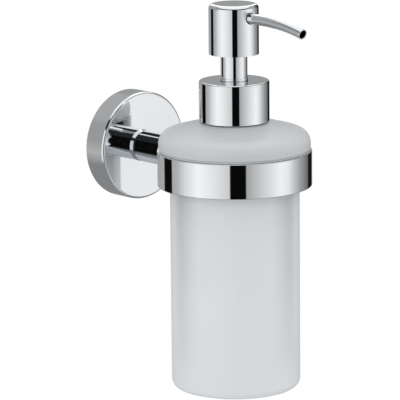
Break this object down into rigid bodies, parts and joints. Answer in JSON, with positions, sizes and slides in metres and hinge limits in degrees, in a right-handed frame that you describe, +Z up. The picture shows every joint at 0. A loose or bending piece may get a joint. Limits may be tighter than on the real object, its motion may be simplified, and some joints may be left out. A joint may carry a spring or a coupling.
{
  "type": "wall mounted soap dispenser",
  "caption": "Chrome wall bracket with a ring that holds a frosted glass bottle, closed by a screwed-in lotion pump with a curved spout.",
  "frame": {"origin": "centre of the wall plate's back face, on the wall's surface and on the arm's axis", "axes": "+Z up along the bottle, +Y into the wall, so the dispenser stands out along -Y and is seen from its front along +Y; +X to the right"},
  "size_m": [0.071, 0.1202, 0.1785],
  "materials": {
    "chrome": "polished",
    "zinc": "as cast",
    "steel": "plain",
    "frosted_glass": "satin",
    "white_plastic": "moulded",
    "clear_plastic": "clear",
    "soft_seal": "matt"
  },
  "bodies": {
    "bracket": {"wall_plate": "zinc", "rosette": "chrome", "rosette_grub_screw": "steel", "arm": "chrome", "arm_screw": "steel", "arm_washer": "steel", "ring_screw": "steel", "ring": "chrome"},
    "liner": {"ring_liner": "clear_plastic"},
    "glass": {"bottle": "frosted_glass"},
    "gasket": {"pump_gasket": "soft_seal"},
    "pump": {"pump_housing": "white_plastic", "guide_bush": "white_plastic", "guide_tube": "chrome", "dip_tube": "clear_plastic"},
    "closure": {"closure_cap": "white_plastic", "collar_shell": "chrome"},
    "inlet_valve": {"inlet_ball": "steel"},
    "spring": {"return_spring": "steel"},
    "plunger": {"piston": "soft_seal", "piston_rod": "white_plastic", "head_core": "white_plastic", "head_shell": "chrome", "spout": "chrome"},
    "outlet_valve": {"outlet_ball": "steel"}
  },
  "joints": [
    {"name": "glass_turn", "type": "hinge", "parent": "bracket", "child": "liner", "pos_m": [0, -0.0746, 0], "axis": [0, 0, 1], "continuous": true},
    {"name": "glass_lift", "type": "slide", "parent": "liner", "child": "glass", "axis": [0, 0, 1], "range_m": [0, 0.115]},
    {"name": "pump_lift", "type": "slide", "parent": "glass", "child": "gasket", "axis": [0, 0, 1], "range_m": [0, 0.132]},
    {"name": "closure_rise", "type": "slide", "parent": "gasket", "child": "pump", "axis": [0, 0, 1], "range_m": [0, 0.00529]},
    {"name": "closure_turn", "type": "hinge", "parent": "pump", "child": "closure", "pos_m": [0, -0.0746, 0.03], "axis": [0, 0, 1], "range_deg": [0, 450]},
    {"name": "inlet_ball_lift", "type": "slide", "parent": "pump", "child": "inlet_valve", "axis": [0, 0, 1], "range_m": [0, 0.0015]},
    {"name": "head_turn", "type": "hinge", "parent": "pump", "child": "spring", "pos_m": [0, -0.0746, 0.05], "axis": [0, 0, 1], "continuous": true},
    {"name": "pump_stroke", "type": "slide", "parent": "spring", "child": "plunger", "axis": [0, 0, -1], "range_m": [0, 0.011], "stiffness_N_per_m": 600, "springref_m": -0.006, "deforming": ["return_spring"]},
    {"name": "outlet_ball_lift", "type": "slide", "parent": "plunger", "child": "outlet_valve", "axis": [0, 0, 1], "range_m": [0, 0.0008]}
  ],
  "couplings": [
    {"joint": "closure_turn", "follows": "closure_rise", "rad_per_m": 1485.4}
  ]
}
